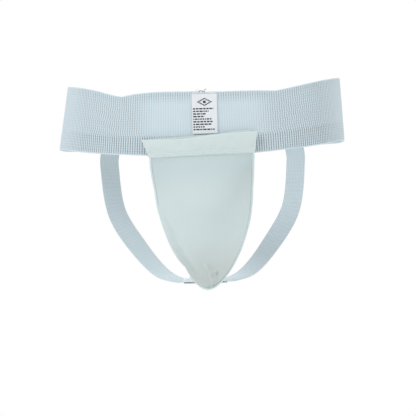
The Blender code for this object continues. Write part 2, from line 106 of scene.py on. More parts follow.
# How far each side of the cloth sits towards +x, by the distance below the mouth.
minus_x_pull = ((0.0, -0.0016), (0.022, 0.0005), (0.036, 0.0006), (0.050, 0.0016),
                (0.065, 0.0028), (0.076, 0.0027), (0.087, 0.0027), (0.100, 0.0036),
                (0.120, 0.0047), (0.137, 0.0056), (0.147, 0.0074), (0.155, 0.0106),
                (0.160, 0.0101), (0.166, 0.0090), (0.175, 0.0073), (0.187, 0.0031))
plus_x_pull = ((0.0, -0.0035), (0.022, -0.0010), (0.040, -0.0012), (0.065, -0.0011),
               (0.079, -0.0001), (0.103, 0.0010), (0.125, 0.0003), (0.140, 0.0005),
               (0.150, 0.0), (0.170, 0.0002), (0.180, 0.0012), (0.187, 0.0031))
# The mouth hangs a little tilted and low; both fade out below the hem.
mouth_tilt = ((0.0, -0.051), (0.022, -0.024), (0.07, 0.0))
mouth_drop = ((0.0, 0.0), (0.022, 0.0015), (0.07, 0.0))


def read_off(table, at):
    """The value that a table of pairs gives at a place."""
    return np.interp(at, *zip(*table))


def hip_drop(x):
    """How far the front of the hips curves back at x from the middle."""
    share = 1 - min(abs(x) / hip_half_width, 1.0) ** hip_squareness
    return hip_half_depth * (1 - share ** (1 / hip_squareness))


def hung_askew(x, s):
    """Worn cloth never hangs quite true: where a drawn spot comes to lie."""
    minus, plus = read_off(minus_x_pull, s), read_off(plus_x_pull, s)
    side = min(max(0.5 + x / 2 / max(half_width_at(max(s, 0.0), 0.0), 0.004), 0.0), 1.0)
    down = read_off(mouth_tilt, s) * x + read_off(mouth_drop, s)
    return x + float(minus + (plus - minus) * side), s + float(down)


def sheet_point(x, s, n):
    x, s = hung_askew(x, s)
    turn = min(max((s - upright_length) / lean_radius, 0.0), lean)
    if s < lean_start:
        y = sheet_y + lean_radius * (1 - cos(turn))
        z = sheet_z - min(s, upright_length) - lean_radius * sin(turn)
    else:
        y = lean_y + (s - lean_start) * sin(lean)
        z = lean_z - (s - lean_start) * cos(lean)
    out = n - hip_drop(x)
    return Vector((x, y - out * cos(turn), z - out * sin(turn)))


def cup_point(x, s, n):
    """The cup's rim is flat, on the sheet's leaning part."""
    run = s - lean_start
    return Vector((x, lean_y + run * sin(lean) - n * cos(lean),
                   lean_z - run * cos(lean) - n * sin(lean)))


print("the sheet leans from", round(lean_start, 4), "m below the mouth")

# %% [markdown]
# ## The pocket's outline and its bulge
# The pocket is widest at the mouth and rounds off at the tip. A curve with many points could
# trace it, but one formula with two powers is easier to grade into sizes. The front layer then
# stands off the sheet far enough to clear the hard cup.

# %% The outline and the bulge
tip_fullness = 2.5
tip_power = 0.57
tip_turn = pi / 2 - 0.035
binding_start = hem_height + 0.008
bulge_depth = 0.043
bulge_middle = 0.078
bulge_margin = 0.001
hem_lift = 0.002
mouth_stand_off = 0.002
minus_x_tuck = ((0.085, 0.0), (0.100, 0.0020), (0.120, 0.0042), (0.145, 0.0062),
                (0.157, 0.0060), (0.166, 0.0030), (0.176, 0.0))


def pouch_edge(turn, inward=0.0):
    """The right edge from the mouth (turn 0) to the tip (a quarter turn)."""
    def on_edge(at):
        return (pouch_half_width * max(cos(at), 0.0) ** (2 * tip_power),
                pouch_length * max(sin(at), 0.0) ** (2 / tip_fullness))

    before = on_edge(max(turn - 0.002, 0.0))
    after = on_edge(min(turn + 0.002, pi / 2))
    along = Vector((after[0] - before[0], after[1] - before[1]))
    inside = Vector((-along.y, along.x)).normalized()
    return Vector(on_edge(turn)) + inside * inward


@lru_cache(maxsize=None)
def edge_turn(s, inward=0.0):
    """The turn at which the edge, moved inward, passes s."""
    low, high = 0.0, pi / 2
    for _ in range(22):
        middle = (low + high) / 2
        if pouch_edge(middle, inward).y < s:
            low = middle
        else:
            high = middle
    return low


@lru_cache(maxsize=None)
def half_width_at(s, inward):
    return max(pouch_edge(edge_turn(s, inward), inward).x, 0.0001)


def smooth_step(value):
    value = min(max(value, 0.0), 1.0)
    return value * value * (3 - 2 * value)


def panel_height(x, s):
    """How far the front layer's middle stands off the sheet."""
    below_hem = smooth_step((s - hem_height) / (binding_start - hem_height))
    edge = layer + hem_lift * (1 - below_hem)
    mouth = mouth_stand_off * (1 - below_hem) * (1 - (x / pouch_half_width) ** 2)
    bulge_start = hem_height + 0.0015
    if s < bulge_middle:
        rise = sin(pi / 2 * max((s - bulge_start) / (bulge_middle - bulge_start), 0.0)) ** 0.9
    else:
        bulge_end = pouch_length - binding_width - bulge_margin
        share = min((s - bulge_middle) / (bulge_end - bulge_middle), 1.0)
        rise = max(cos(pi / 2 * share), 0.0) ** 0.8
    tuck = float(read_off(minus_x_tuck, s)) if x < 0 else 0.0
    dome_half = half_width_at(s, binding_front + 0.0003) - tuck
    across = max(1 - min(abs(x) / dome_half, 1.0) ** 2.1, 0.0) ** (0.95 - 40 * tuck)
    return edge + max(mouth, 0.0) + bulge_depth * rise * across


print("pocket half width at mid length", round(half_width_at(pouch_length / 2, 0.0), 4))
print("pocket tip at", [round(c, 4) for c in sheet_point(0, pouch_length, 0)])

# %% [markdown]
# ## Camera, light and floor
# A product picture of white cloth wants broad soft light from one side, so that folds and ribs
# still show, and a long lens at the object's own height. The picture is a little rolled, since
# the garment hangs a few degrees off level.

# %% Camera
camera_distance = 2.6
view_width = 0.481
aim = Vector((0.0052, -hip_half_depth, -0.0975))
bpy.ops.object.camera_add(location=(aim.x, aim.y - camera_distance, aim.z),
                          rotation=(pi / 2, radians(1.5), 0))
camera = bpy.context.object
camera.name = "camera"
camera.data.sensor_width = 36
camera.data.lens = 36 * camera_distance / view_width
camera.data.clip_end = 50
bpy.context.scene.camera = camera
print("lens", round(camera.data.lens), "mm")


# %% Light and floor
def add_node(tree, kind, inputs=(), **settings):
    """A new shader node; inputs maps its sockets to values or to other nodes' outputs."""
    node = tree.nodes.new("ShaderNode" + kind)
    for name, value in settings.items():
        setattr(node, name, value)
    for label, value in dict(inputs).items():
        if isinstance(value, bpy.types.NodeSocket):
            tree.links.new(value, node.inputs[label])
        else:
            node.inputs[label].default_value = value
    return node


def soft_box(name, location, size, power):
    bpy.ops.object.light_add(type="AREA", location=location)
    light = bpy.context.object
    light.name = name
    light.data.shape = "DISK"
    light.data.size = size
    light.data.energy = power
    direction = Vector((0, 0, -0.08)) - Vector(location)
    light.rotation_euler = direction.to_track_quat("-Z", "Y").to_euler()


soft_box("key_light", (-1.9, -1.9, 1.8), 0.9, 23)
soft_box("fill_light", (2.2, -1.6, 0.5), 1.8, 5.5)
soft_box("back_light", (0.6, 1.9, 1.5), 1.6, 20)

world = bpy.data.worlds.new("studio")
world.use_nodes = True
sky = world.node_tree
white = (1.0, 1.0, 1.0, 1.0)
direction = add_node(sky, "TexCoord")
height = add_node(sky, "SeparateXYZ", {"Vector": direction.outputs["Generated"]})
overhead = add_node(sky, "MapRange", {"Value": height.outputs["Z"], "From Min": -0.8,
                                      "From Max": 0.7, "To Min": 0.28, "To Max": 0.92})
room = sky.nodes["Background"]
room.inputs["Color"].default_value = white
sky.links.new(overhead.outputs["Result"], room.inputs["Strength"])
paper = add_node(sky, "Background", {"Color": white})
seen = add_node(sky, "LightPath")
either = add_node(sky, "MixShader", {"Fac": seen.outputs["Is Camera Ray"],
                                     1: room.outputs["Background"],
                                     2: paper.outputs["Background"]})
sky.links.new(either.outputs["Shader"], sky.nodes["World Output"].inputs["Surface"])
bpy.context.scene.world = world
bpy.context.scene.view_settings.view_transform = "Standard"

bpy.ops.mesh.primitive_circle_add(vertices=96, radius=1.5, fill_type="NGON",
                                  location=(0, 0, -0.56))
floor = bpy.context.object
floor.name = "floor"
floor_paint = bpy.data.materials.new("floor_paint")
floor_paint.use_nodes = True
paint = floor_paint.node_tree.nodes["Principled BSDF"]
paint.inputs["Base Color"].default_value = (0.9, 0.9, 0.9, 1.0)
paint.inputs["Roughness"].default_value = 0.8
floor.data.materials.append(floor_paint)

# %% [markdown]
# ## Shared effects
# White cloth is never one flat white: yarns differ and the surface is fuzzy. Two effects are used
# by many finishes, so each is a node group built once: `yarn_tint` varies a colour, and
# `knit_grain` gives the height of fine stitches and the depth of their grooves, which the
# finishes darken as painted shade. Both put out only values.


# %% Node group helpers
def new_group(name, inputs, outputs):
    group = bpy.data.node_groups.new(name, "ShaderNodeTree")
    for label, kind, value in inputs:
        socket = group.interface.new_socket(label, in_out="INPUT", socket_type=kind)
        socket.default_value = value
    for label, kind in outputs:
        group.interface.new_socket(label, in_out="OUTPUT", socket_type=kind)
    entry = group.nodes.new("NodeGroupInput")
    result = group.nodes.new("NodeGroupOutput")
    return group, entry, result


def math_node(tree, operation, *values):
    return add_node(tree, "Math", enumerate(values), operation=operation).outputs["Value"]


def mix_colours(tree, share, first, second):
    node = add_node(tree, "Mix", {"Factor": share, "A": first, "B": second}, data_type="RGBA")
    return node.outputs["Result"]


# %% The yarn tint group
yarn_tint, entry, result = new_group(
    "yarn_tint",
    [("Vector", "NodeSocketVector", (0, 0, 0)), ("Colour", "NodeSocketColor", (1, 1, 1, 1)),
     ("Shade", "NodeSocketColor", (0.6, 0.7, 0.7, 1)), ("Amount", "NodeSocketFloat", 0.3)],
    [("Colour", "NodeSocketColor"), ("Fuzz", "NodeSocketFloat")])
where = entry.outputs["Vector"]
broad = add_node(yarn_tint, "TexNoise", {"Vector": where, "Scale": 28.0, "Detail": 3.0})
fine = add_node(yarn_tint, "TexNoise", {"Vector": where, "Scale": 900.0, "Detail": 2.0})
both = math_node(yarn_tint, "MULTIPLY", broad.outputs["Fac"], 0.7)
fuzz = math_node(yarn_tint, "MULTIPLY", fine.outputs["Fac"], 0.5)
both = math_node(yarn_tint, "ADD", both, fuzz)
both = math_node(yarn_tint, "MULTIPLY", both, entry.outputs["Amount"])
yarn_tint.links.new(mix_colours(yarn_tint, both, entry.outputs["Colour"],
                                entry.outputs["Shade"]), result.inputs["Colour"])
yarn_tint.links.new(fine.outputs["Fac"], result.inputs["Fuzz"])
print("group", yarn_tint.name, "with", len(yarn_tint.nodes), "nodes")

# %% The knit grain group
knit_grain, entry, result = new_group(
    "knit_grain",
    [("Across", "NodeSocketFloat", 0.0), ("Along", "NodeSocketFloat", 0.0),
     ("Pitch across", "NodeSocketFloat", 0.001), ("Pitch along", "NodeSocketFloat", 0.001),
     ("Weft", "NodeSocketFloat", 0.3)],
    [("Height", "NodeSocketFloat"), ("Groove shade", "NodeSocketFloat")])
waves = []
for direction, pitch in (("Across", "Pitch across"), ("Along", "Pitch along")):
    turns = math_node(knit_grain, "DIVIDE", entry.outputs[direction], entry.outputs[pitch])
    turns = math_node(knit_grain, "MULTIPLY", turns, 2 * pi)
    wave = math_node(knit_grain, "COSINE", turns)
    waves.append(math_node(knit_grain, "MULTIPLY", wave, 0.5))
courses = math_node(knit_grain, "MULTIPLY", waves[1], entry.outputs["Weft"])
height = math_node(knit_grain, "ADD", waves[0], courses)
height = math_node(knit_grain, "ADD", height, 0.5)
# The depth of the grooves between stitches, which the finishes use for painted shade.
groove_shade = math_node(knit_grain, "SUBTRACT", 1.0, height)
knit_grain.links.new(height, result.inputs["Height"])
knit_grain.links.new(groove_shade, result.inputs["Groove shade"])
print("group", knit_grain.name, "with", len(knit_grain.nodes), "nodes")

# %% [markdown]
# ## Cloth finishes
# Each finish is a Principled shader: a matt white that is a little blue, a fuzzy sheen, and the
# grain as a bump. Elastic follows the piece's own UV map, which is in metres along and across
# the strip, so its ribs keep their size round every bend. The pocket's knit hangs straight, so
# it reads Object coordinates instead.


# %% The cloth finish
def new_finish(name, constants):
    """A material with its tree and its shader, whose plain inputs are set."""
    finish = bpy.data.materials.new(name)
    finish.use_nodes = True
    shader = finish.node_tree.nodes["Principled BSDF"]
    for label, value in constants.items():
        shader.inputs[label].default_value = value
    return finish, finish.node_tree, shader


def raise_surface(tree, shader, height, strength, distance):
    bump = add_node(tree, "Bump", {"Strength": strength, "Distance": distance,
                                   "Height": height})
    tree.links.new(bump.outputs["Normal"], shader.inputs["Normal"])


def cloth_finish(name, colour, shade, pitch_across, pitch_along, depth, on_uv,
                 roughness=0.88, groove_shade=0.15, weft=0.3, strength_name="", painted_shade=()):
    """A woven or knitted finish; the pitches and the depth are in metres.

    Each entry of the last argument is painted shade: it greys the cloth between two heights, up
    to a share of a colour.
    """
    finish, tree, shader = new_finish(name, {
        "Roughness": roughness, "Sheen Weight": 0.2, "Sheen Roughness": 0.5,
        "Specular IOR Level": 0.3})
    where = add_node(tree, "TexCoord")
    split = add_node(tree, "SeparateXYZ", {"Vector": where.outputs["UV" if on_uv else "Object"]})
    tint = add_node(tree, "Group", {
        "Vector": where.outputs["Object"], "Colour": (*colour, 1), "Shade": (*shade, 1)},
        node_tree=yarn_tint)
    grain = add_node(tree, "Group", {
        "Across": split.outputs["X"], "Along": split.outputs["Y" if on_uv else "Z"],
        "Weft": weft, "Pitch across": pitch_across, "Pitch along": pitch_along},
        node_tree=knit_grain)
    relief, dark = grain.outputs["Height"], grain.outputs["Groove shade"]
    if strength_name:
        strength = add_node(tree, "Attribute", attribute_name=strength_name)
        relief = math_node(tree, "MULTIPLY", relief, strength.outputs["Fac"])
        dark = math_node(tree, "MULTIPLY", dark, strength.outputs["Fac"])
    height = math_node(tree, "ADD", relief,
                       math_node(tree, "MULTIPLY", tint.outputs["Fuzz"], 0.6))
    raise_surface(tree, shader, height, 0.6, depth)
    colour_so_far = tint.outputs["Colour"]
    # Painted shade: each band greys the cloth towards its colour between two heights.
    for start, end, most, grey in painted_shade:
        fade = add_node(tree, "MapRange", {"Value": split.outputs["Z"], "From Min": start,
                                           "From Max": end, "To Max": most},
                        interpolation_type="SMOOTHSTEP")
        colour_so_far = mix_colours(tree, fade.outputs["Result"], colour_so_far, (*grey, 1))
    # Painted shade: the grooves between ribs and stitches are darkened towards a deep tone of the
    # shade colour.
    dark = math_node(tree, "MULTIPLY", dark, groove_shade)
    tree.links.new(mix_colours(tree, dark, colour_so_far,
                               tuple(0.45 * c for c in shade) + (1,)),
                   shader.inputs["Base Color"])
    return finish


rib_count = 316
band_length = 0.8996
band_elastic = cloth_finish("band_elastic", (0.70, 0.82, 0.88), (0.52, 0.62, 0.67),
                            band_length / rib_count, 0.0031, 0.00025, True, groove_shade=0.98, weft=0.2,
                            strength_name="rib_strength")
strap_elastic = cloth_finish("strap_elastic_finish", (0.66, 0.76, 0.80), (0.48, 0.58, 0.62),
                             0.0021, 0.0031, 0.00015, True, groove_shade=0.22, weft=0.25)
# Painted shade on the pocket: the tip, which faces down, and the upper part below the mouth are
# greyed.
pouch_knit = cloth_finish("pouch_knit_finish", (0.66, 0.76, 0.765), (0.56, 0.66, 0.665),
                          0.0024, 0.0018, 0.00007, False, groove_shade=0.035, weft=0.5,
                          painted_shade=((-0.125, -0.185, 0.8, (0.52, 0.58, 0.56)),
                                (-0.095, -0.045, 0.6, (0.52, 0.63, 0.66))))
lining_knit = cloth_finish("lining_knit_finish", (0.70, 0.79, 0.79), (0.58, 0.68, 0.68),
                           0.0024, 0.0018, 0.00007, False, groove_shade=0.05, weft=0.5)
hem_knit = cloth_finish("hem_cloth_finish", (0.695, 0.795, 0.79), (0.57, 0.67, 0.675), 0.0024,
                        0.0018, 0.00008, False, groove_shade=0.04, weft=0.5)
binding_tape = cloth_finish("binding_tape_finish", (0.74, 0.85, 0.87), (0.62, 0.73, 0.75),
                            0.0010, 0.0012, 0.00008, True, roughness=0.75, groove_shade=0.05)
# The tab's colour is lighter than the other tapes: painted light, lifting the shade on its
# underside.
tab_webbing = cloth_finish("tab_webbing_finish", (0.78, 0.87, 0.90), (0.66, 0.76, 0.79),
                           0.0028, 0.0022, 0.00010, True, groove_shade=0.12, weft=0.6)
print("cloth finishes:", [m.name for m in bpy.data.materials if m.name.endswith("_finish")])


# %% [markdown]
# ## Thread, satin, plastic and rubber
# Polyester thread shines a little more than cloth and is twisted. Satin ribbon is smooth one
# way and ribbed the other. The cup is moulded plastic, glossy with fine scuffs, and its rim is
# a dull rubber. One function makes them all: they differ in colour, gloss and grain only.

# %% The other finishes
def plain_finish(name, colour, roughness, noise_scale, bump_depth, spread, coat=0.0):
    """A finish with a fine grain: its roughness varies by spread."""
    finish, tree, shader = new_finish(name, {"Coat Weight": coat})
    where = add_node(tree, "TexCoord")
    noise = add_node(tree, "TexNoise", {"Vector": where.outputs["Object"],
                                        "Scale": noise_scale, "Detail": 4.0})
    varied = math_node(tree, "MULTIPLY", noise.outputs["Fac"], spread)
    tree.links.new(math_node(tree, "ADD", varied, roughness - spread / 2),
                   shader.inputs["Roughness"])
    darker = tuple(c * 0.86 for c in colour)
    share = math_node(tree, "MULTIPLY", noise.outputs["Fac"], 0.5)
    tree.links.new(mix_colours(tree, share, (*colour, 1), (*darker, 1)),
                   shader.inputs["Base Color"])
    raise_surface(tree, shader, noise.outputs["Fac"], 0.5, bump_depth)
    return finish


thread_finish = plain_finish("thread_finish", (0.765, 0.865, 0.88), 0.55, 2600.0, 0.00004, 0.1)
dark_thread = plain_finish("dark_thread", (0.05, 0.06, 0.08), 0.6, 2600.0, 0.00004, 0.1)
satin_finish = plain_finish("satin_finish", (0.86, 0.90, 0.94), 0.38, 1400.0, 0.00002, 0.12)
print_ink = plain_finish("print_ink", (0.04, 0.045, 0.06), 0.6, 1800.0, 0.00001, 0.15)
cup_plastic = plain_finish("cup_plastic_finish", (0.80, 0.83, 0.84), 0.32, 220.0, 0.00003,
                           0.14, coat=0.15)
soft_rubber = plain_finish("soft_rim_finish", (0.62, 0.65, 0.67), 0.7, 700.0, 0.00005, 0.12)
print("materials so far:", len(bpy.data.materials))

# %% [markdown]
# ## A way to lay cloth
# Cloth starts flat. So does each soft piece here: a grid is added, its points are laid on the
# sheet or round the hips, and Solidify gives it the cloth's thickness. The grid keeps the
# weaver's order of rows and columns, which a sculpted blob would lose, and its UV map is set
# in metres so that a weave keeps its size.


# %% The cloth helper
def deselect_all():
    if bpy.context.mode != "OBJECT":
        bpy.ops.object.mode_set(mode="OBJECT")
    bpy.ops.object.select_all(action="DESELECT")


def apply_modifiers(piece):
    deselect_all()
    bpy.context.view_layer.objects.active = piece
    piece.select_set(True)
    for modifier in list(piece.modifiers):
        bpy.ops.object.modifier_apply(modifier=modifier.name)


def thicken(piece, thickness):
    """Gives a laid surface its wall, half to each side."""
    wall = piece.modifiers.new("thickness", "SOLIDIFY")
    wall.thickness = thickness
    wall.offset = 0.0
    apply_modifiers(piece)


def round_edges(piece, width, segments, angle):
    """Bevels the edges that turn by more than this angle in degrees."""
    edge = piece.modifiers.new("rim", "BEVEL")
    edge.width = width
    edge.segments = segments
    edge.limit_method = "ANGLE"
    edge.angle_limit = radians(angle)
    apply_modifiers(piece)


def surface(piece, finish, sharp=0):
    """One finish, shaded smooth but for edges that turn by more than sharp degrees."""
    piece.data.materials.clear()
    piece.data.materials.append(finish)
    piece.data.shade_smooth()
    if sharp:
        piece.data.set_sharp_from_angle(angle=radians(sharp))


def lay_cloth(name, columns, rows, place, thickness, flat, finish, rim=0.00022):
    """A sheet of cloth. place takes u and v from -1 to 1; flat is its flat size in metres."""
    deselect_all()
    bpy.ops.mesh.primitive_grid_add(x_subdivisions=columns, y_subdivisions=rows, size=2)
    piece = bpy.context.object
    piece.name = name
    spots = [(vertex.co.x, vertex.co.y) for vertex in piece.data.vertices]
    for vertex, (u, v) in zip(piece.data.vertices, spots):
        vertex.co = place(u, v)
    uv_map = piece.data.uv_layers.active.data
    for loop in piece.data.loops:
        u, v = spots[loop.vertex_index]
        uv_map[loop.index].uv = (u * flat[0] / 2, v * flat[1] / 2)
    thicken(piece, thickness)
    round_edges(piece, rim, 2, 65)
    surface(piece, finish, 60)
    return piece


def count(piece):
    return sum(len(face.vertices) - 2 for face in piece.data.polygons)


# %% [markdown]
# ## The waistband
# Ribbed elastic is woven over rubber cords: fine ribs run up the band, deeper ones set half a
# rib aside in the lower third, and a selvedge closes both edges. A displaced ring could show it,
# but the ribs here are real columns of the strip, four to a rib, so that they catch light at
# the silhouette too. The strip is laid round the hips with its two ends at the centre back.

# %% The band's path
def outline(angle, half_width, outward):
    """Points of the hip outline at these angles, moved outward."""
    power = 2 / hip_squareness

    def at(a):
        return np.stack([half_width * np.sign(np.cos(a)) * np.abs(np.cos(a)) ** power,
                         hip_half_depth * np.sign(np.sin(a)) * np.abs(np.sin(a)) ** power])

    along = at(angle + 0.001) - at(angle - 0.001)
    normal = np.stack([along[1], -along[0]]) / np.hypot(along[0], along[1])
    return at(angle) + normal * outward, normal


spare_angle = 0.06
table_angles = np.linspace(pi / 2 - spare_angle, pi / 2 + 2 * pi + spare_angle, 6401)
table_points, _ = outline(table_angles, hip_half_width, 0.0)
table_run = np.concatenate([[0], np.cumsum(np.hypot(*np.diff(table_points, axis=1)))])
table_run -= np.interp(pi / 2, table_angles, table_run)
band_round = float(np.interp(pi / 2 + 2 * pi, table_angles, table_run))
print("the band is", round(band_round, 3), "m round")

# %% The band's ribs
columns_per_rib = 4
rib_depth = 0.00036
rib_allowance = 0.0004
rib_zones = ((0.0, 0.0), (0.0009, 0.0), (0.0022, rib_depth), (0.0222, rib_depth),
             (0.0250, 0.00025), (0.0650, 0.00023), (0.0684, 0.00026), (0.0730, 0.00026),
             (0.0742, 0.0), (band_height, 0.0))
band_rows = np.array([0.0, 0.0009, 0.0022, 0.008, 0.015, 0.0222, 0.0236, 0.0250, 0.0275,
                      0.0300, 0.0325, 0.035, 0.0375, 0.0400, 0.0425, 0.045, 0.0475, 0.0500,
                      0.0525, 0.0550, 0.0575, 0.0600, 0.0630, 0.0655, 0.0684, 0.0707, 0.0730,
                      0.0742, band_height])
# How the elastic sits: where along the front each edge rides up or down.
top_ride = ((-0.170, 0.0030), (-0.158, 0.0029), (-0.138, 0.0024), (-0.120, 0.0),
            (-0.106, -0.0035), (-0.093, -0.0051), (-0.077, -0.0017), (-0.059, 0.0002),
            (-0.042, 0.0008), (-0.013, 0.0004), (0.020, -0.0006), (0.045, -0.0003),
            (0.066, -0.0009), (0.086, -0.0022), (0.104, 0.0003), (0.122, 0.0028),
            (0.140, 0.0046), (0.163, 0.0055), (0.170, 0.0056))
low_ride = ((-0.170, 0.0018), (-0.144, 0.0017), (-0.122, 0.0020), (-0.094, 0.0022),
            (-0.066, 0.0017), (-0.050, 0.0), (0.050, 0.0), (0.063, 0.0021), (0.078, 0.0024),
            (0.102, 0.0036), (0.121, 0.0036), (0.140, 0.0040), (0.170, 0.0042))
side_slip = 0.0042
turn_depth = 0.03
# The ribs lie calmer beside the label and shallower at both ends of the front.
calm_middle, calm_reach, calm_share = 0.003, 0.074, 0.82
end_start, end_reach, end_share = 0.138, 0.028, 0.65
main_low, main_high = 0.0215, 0.0715


def ride_up(x, y, share):
    """How far the band's spot sits above its drawn place; share is 0 at its lower edge."""
    behind = np.clip(y / turn_depth, 0, 1)
    low = read_off(low_ride, x) * (1 - 0.4 * behind)
    top = read_off(top_ride, x) - 0.0015 * behind
    return low + (top - low) * share


def lay_waistband():
    columns = rib_count * columns_per_rib
    rows = len(band_rows) - 1
    deselect_all()
    bpy.ops.mesh.primitive_grid_add(x_subdivisions=columns, y_subdivisions=rows, size=2)
    band = bpy.context.object
    band.name = "ribbed_waistband"
    flat = np.zeros(len(band.data.vertices) * 3, np.float32)
    band.data.vertices.foreach_get("co", flat)
    flat = flat.reshape(-1, 3)
    column = np.rint((flat[:, 0] + 1) / 2 * columns).astype(int)
    row = np.rint((flat[:, 1] + 1) / 2 * rows).astype(int)
    height = band_rows[row] - band_height / 2
    run = column / columns * band_round
    run = 0.0001 + run * (band_round - 0.0002) / band_round
    front_x = np.interp(run, table_run, table_points[0])
    spot_y = np.interp(run, table_run, table_points[1])
    facing = np.clip(-spot_y / turn_depth, 0, 1)
    calm = 1 - calm_share * np.exp(-((front_x - calm_middle) / calm_reach) ** 8) * facing
    main_zone = np.clip((band_rows[row] - main_low) / 0.003, 0, 1)
    main_zone *= np.clip((main_high - band_rows[row]) / 0.011, 0, 1)
    depth = read_off(rib_zones, band_rows[row]) * (1 - main_zone * (1 - calm))
    depth *= 1 - end_share * np.clip((np.abs(front_x) - end_start) / end_reach, 0, 1) * facing
    restless = 1 - np.exp(-((np.abs(front_x) - 0.115) / 0.035) ** 2)
    wobble = 0.0007 * np.sin(height * 560 + 5 * np.sin(run * 19)) * (1 - restless)
    half_rib = band_round / rib_count / 2 * np.clip((0.0250 - band_rows[row]) / 0.0028, 0, 1)
    angle = np.interp(run + half_rib + wobble * main_zone, table_run, table_angles)
    rib = np.cos(2 * pi * column / columns_per_rib)
    wave = 0.0004 * np.sin(run * 43.0 + 1.0) * np.sin(height * 38.0)
    half_width = hip_half_width - band_flare * height / (band_height / 2)
    points, _ = outline(angle, half_width, depth * rib + wave)
    front = points[1] < 0
    share = np.clip(np.abs(points[0]) / hip_half_width, 0, 1) ** 3
    rise = side_rise * np.where(front, share, 1.0)
    upper = 0.5 + height / band_height
    rise = rise + ride_up(points[0], points[1], upper)
    slip = side_slip * upper * np.clip(np.abs(points[0]) / hip_half_width, 0, 1) ** 2
    laid = np.stack([points[0] + slip, points[1], height + rise], axis=1).astype(np.float32)
    band.data.vertices.foreach_set("co", laid.ravel())
    corner = np.zeros(len(band.data.loops), np.int32)
    band.data.loops.foreach_get("vertex_index", corner)
    strength = band.data.attributes.new("rib_strength", "FLOAT", "POINT")
    strength.data.foreach_set("value", (depth / rib_depth).astype(np.float32))
    flat_run = column / columns * band_length
    in_metres = np.stack([flat_run, height], axis=1)[corner].astype(np.float32)
    band.data.uv_layers.active.data.foreach_set("uv", in_metres.ravel())
    return band


waistband = lay_waistband()
thicken(waistband, band_thickness - rib_allowance)
surface(waistband, band_elastic, 70)
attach(waistband, "garment")
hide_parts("waistband")
print("waistband", count(waistband), "triangles")

# %% [markdown]
# ## Stitches
# A lockstitch shows as a row of short threads that dip into the cloth at both ends. One stitch
# is modelled, an Array repeats it, and a Curve modifier lays the row along its seam. A zigzag
# or a bar tack is one thread that turns back and forth, so it is a round curve made a mesh.


# %% The stitching helpers
def curve_through(name, points, radius=0.0, resolution=2):
    curve = bpy.data.curves.new(name, "CURVE")
    curve.dimensions = "3D"
    curve.bevel_depth = radius
    curve.bevel_resolution = resolution
    curve.use_fill_caps = True
    spline = curve.splines.new("POLY")
    spline.points.add(len(points) - 1)
    for spot, point in zip(spline.points, points):
        spot.co = (*point, 1.0)
    piece = bpy.data.objects.new(name, curve)
    bpy.context.scene.collection.objects.link(piece)
    return piece


def length_of(points):
    return sum((b - a).length for a, b in zip(points, points[1:]))


def stitch_row(name, points, pitch=0.0030, radius=0.00028, finish=thread_finish):
    """A row of lockstitches along the points."""
    path = curve_through(name + "_path", points)
    deselect_all()
    bpy.ops.mesh.primitive_uv_sphere_add(segments=8, ring_count=8, radius=1)
    row = bpy.context.object
    row.name = name
    bpy.ops.object.mode_set(mode="EDIT")
    bpy.ops.mesh.select_all(action="SELECT")
    bpy.ops.transform.resize(value=(pitch * 0.44, radius, radius))
    bpy.ops.transform.translate(value=(pitch / 2, 0, 0))
    bpy.ops.object.mode_set(mode="OBJECT")
    many = row.modifiers.new("row", "ARRAY")
    many.count = max(int(length_of(points) / pitch), 1)
    many.use_relative_offset = False
    many.use_constant_offset = True
    many.constant_offset_displace = (pitch, 0, 0)
    along = row.modifiers.new("along", "CURVE")
    along.object = path
    apply_modifiers(row)
    bpy.data.objects.remove(path, do_unlink=True)
    surface(row, finish)
    return row


def thread(name, points, radius=0.00028, finish=thread_finish, resolution=2):
    """One continuous thread, as a mesh."""
    piece = curve_through(name, points, radius, resolution)
    deselect_all()
    bpy.context.view_layer.objects.active = piece
    piece.select_set(True)
    bpy.ops.object.convert(target="MESH")
    piece = bpy.context.object
    bpy.ops.object.mode_set(mode="EDIT")
    bpy.ops.mesh.select_all(action="SELECT")
    bpy.ops.mesh.remove_doubles(threshold=0.000001)
    bpy.ops.mesh.normals_make_consistent(inside=False)
    bpy.ops.object.mode_set(mode="OBJECT")
    surface(piece, finish)
    return piece


def zigzag(place, length, stitches, width):
    """Points of a zigzag with slightly rounded corners; place takes along and across."""
    points = []
    for i in range(stitches + 1):
        along = length * (i / stitches - 0.5)
        side = 1 if i % 2 else -1
        step = length / stitches * 0.08
        points += [place(along - step, side * width * 0.46), place(along, side * width / 2),
                   place(along + step, side * width * 0.46)]
    return points


def dress(piece, body, slot, *nodes):
    """Rides the piece on its body and hides the CAD nodes that it stands for."""
    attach(piece, body)
    if nodes:
        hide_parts(*nodes)
    return piece


# %% The waistband's join
thread_lift = band_thickness / 2 + 0.0004


def band_spot(angle, height, outward):
    half_width = hip_half_width - band_flare * height / (band_height / 2)
    flat, _ = outline(np.array([angle]), half_width, outward)
    x, y = float(flat[0][0]), float(flat[1][0])
    share = 1.0 if y > 0 else min(abs(x) / hip_half_width, 1.0) ** 3
    ride = float(ride_up(x, y, 0.5 + height / band_height))
    return Vector((x, y, height + side_rise * share + ride))


join = thread("join_zigzag", zigzag(
    lambda along, across: band_spot(pi / 2 + across / hip_half_width, along, thread_lift),
    band_height * 0.9, 22, 0.006))
dress(join, "garment", "white_thread", "waistband_join_stitching")
print("join zigzag", count(join), "triangles")

# %% [markdown]
# ## The pocket's front layer
# The knit is stretched over the cup from one binding to the other. It could be draped by a
# cloth simulation, but a stretched knit has no free folds: it takes the shortest way over the
# cup, so a formula gives its dome. Small puckers under the hem, a tension crease at the lower
# side and the little dart at the tip are added to it as a sculptor would.


